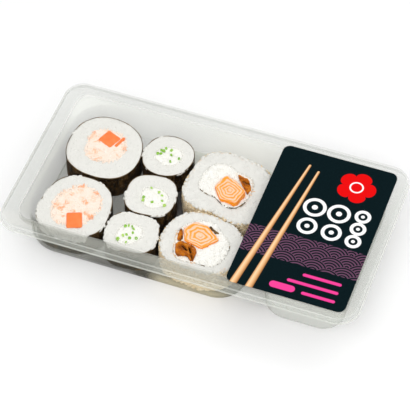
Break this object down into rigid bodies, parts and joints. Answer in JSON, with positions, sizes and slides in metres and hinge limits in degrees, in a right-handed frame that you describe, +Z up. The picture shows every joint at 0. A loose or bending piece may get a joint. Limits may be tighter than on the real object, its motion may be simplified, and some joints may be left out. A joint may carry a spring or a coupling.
{
  "type": "sealed takeaway sushi tray",
  "caption": "Film-sealed translucent takeaway tray with a large and a small compartment, cut sushi rolls standing in the large one and a dark printed label over the small one",
  "frame": {"origin": "centre of the tray's footprint, on the surface that the tray stands on", "axes": "+X along the tray's length from the rolls towards the small compartment, +Y across it to the back long edge, +Z up"},
  "size_m": [0.208, 0.115, 0.0246],
  "materials": {
    "tray_plastic": "frosted translucent polypropylene, satin",
    "lid_film": "clear heat-sealed film, glossy",
    "label": "printed paper label, dark ground, soft sheen",
    "seaweed": "roasted seaweed sheet, near black with a brown cast",
    "rice": "cooked short-grain rice, moist",
    "crab_salad": "creamy crab salad with orange flecks",
    "carrot": "cooked carrot, moist",
    "cream_cheese": "cream cheese, crumbly cut face",
    "chives": "cut chives",
    "crab_stick": "pressed crab stick in orange and cream layers",
    "gourd": "soy-simmered gourd, translucent brown"
  },
  "bodies": {
    "root": {"tray": "tray_plastic", "lid_film": "lid_film", "label": "label", "futomaki_a_seaweed": "seaweed", "futomaki_a_rice": "rice", "futomaki_a_salad": "crab_salad", "futomaki_a_carrot": "carrot", "futomaki_a_carrot_shaving": "carrot", "futomaki_b_seaweed": "seaweed", "futomaki_b_rice": "rice", "futomaki_b_salad": "crab_salad", "futomaki_b_carrot": "carrot", "hosomaki_a_seaweed": "seaweed", "hosomaki_a_rice": "rice", "hosomaki_a_cheese": "cream_cheese", "hosomaki_b_seaweed": "seaweed", "hosomaki_b_rice": "rice", "hosomaki_b_cheese": "cream_cheese", "hosomaki_c_seaweed": "seaweed", "hosomaki_c_rice": "rice", "hosomaki_c_cheese": "cream_cheese", "california_a_rice": "rice", "california_a_seaweed": "seaweed", "california_a_cheese": "cream_cheese", "california_a_crab": "crab_stick", "california_a_gourd": "gourd", "california_b_rice": "rice", "california_b_seaweed": "seaweed", "california_b_cheese": "cream_cheese", "california_b_crab": "crab_stick", "california_b_gourd": "gourd", "california_b_gourd_strip": "gourd", "california_b_seaweed_fold": "seaweed"}
  },
  "joints": []
}
